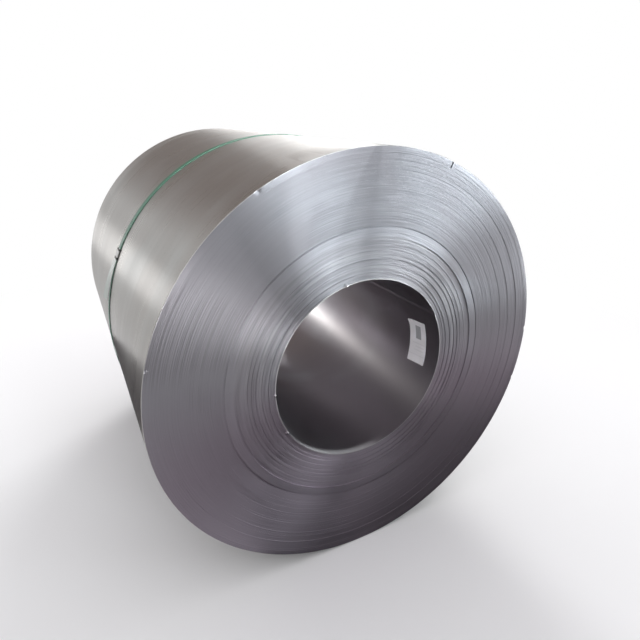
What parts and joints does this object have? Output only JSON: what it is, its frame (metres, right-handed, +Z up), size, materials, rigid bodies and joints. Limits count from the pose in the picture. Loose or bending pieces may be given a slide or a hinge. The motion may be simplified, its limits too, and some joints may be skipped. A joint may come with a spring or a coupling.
{
  "type": "steel coil",
  "caption": "Coil of wide cold-rolled steel strip lying on its side, with an open round bore, turns showing on its ends, a green strap with a metal seal round it and a paper label in the bore.",
  "frame": {"origin": "on the floor, under the middle of the coil's length and width", "axes": "+Y along the coil's axis, from the near end with the label to the far end; +Z up; +X to the right seen from the near end"},
  "size_m": [1.143, 1.2768, 1.1429],
  "materials": {
    "coil": "cold-rolled, lightly oiled, satin",
    "strap": "embossed polyester strap, glossy green",
    "strap_seal": "painted and scuffed sheet steel",
    "label": "matt printed paper"
  },
  "bodies": {
    "root": {"coil": "coil", "strap": "strap", "strap_seal": "strap_seal", "label": "label"}
  },
  "joints": []
}
